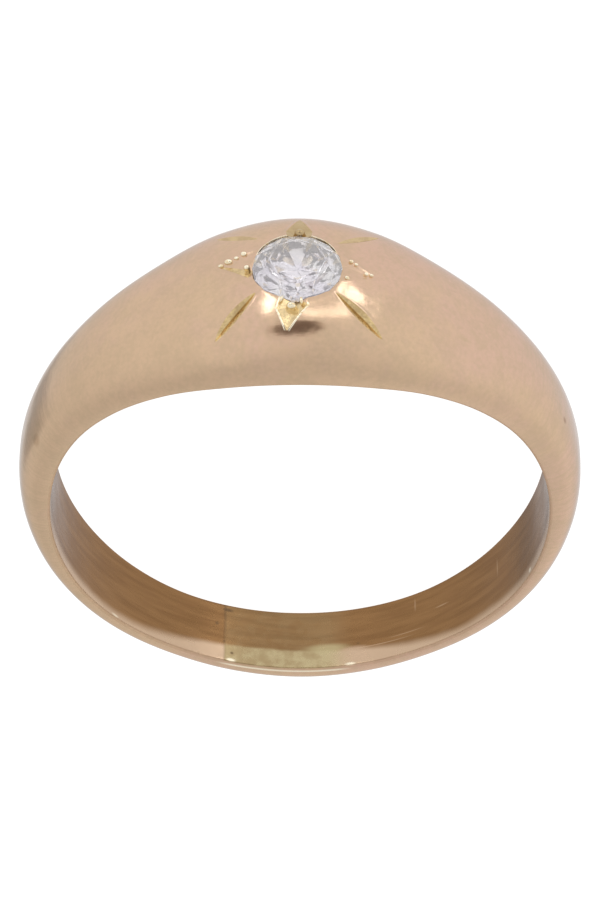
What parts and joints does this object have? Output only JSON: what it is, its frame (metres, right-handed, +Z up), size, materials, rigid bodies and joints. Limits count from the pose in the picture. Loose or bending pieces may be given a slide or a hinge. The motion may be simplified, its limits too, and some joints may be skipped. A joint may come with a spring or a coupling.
{
  "type": "flush set gypsy ring",
  "caption": "Gold finger ring lying on its side: a tapering domed band with a round brilliant sunk in its crown, inside a star of cut rays, raised grains and slanting slits.",
  "frame": {"origin": "middle of the ring's box, on the surface that it lies on", "axes": "the ring lies on its side: +Z up, the finger hole leans 7.2 degrees from +Z towards +Y, the crown with the stone faces -Y and the back of the band +Y"},
  "size_m": [0.0208, 0.022, 0.0076],
  "materials": {
    "gold": "worn satin polish, rosy yellow",
    "stone": "clear cut stone"
  },
  "bodies": {
    "root": {"ring_band": "gold", "stone": "stone"}
  },
  "joints": []
}
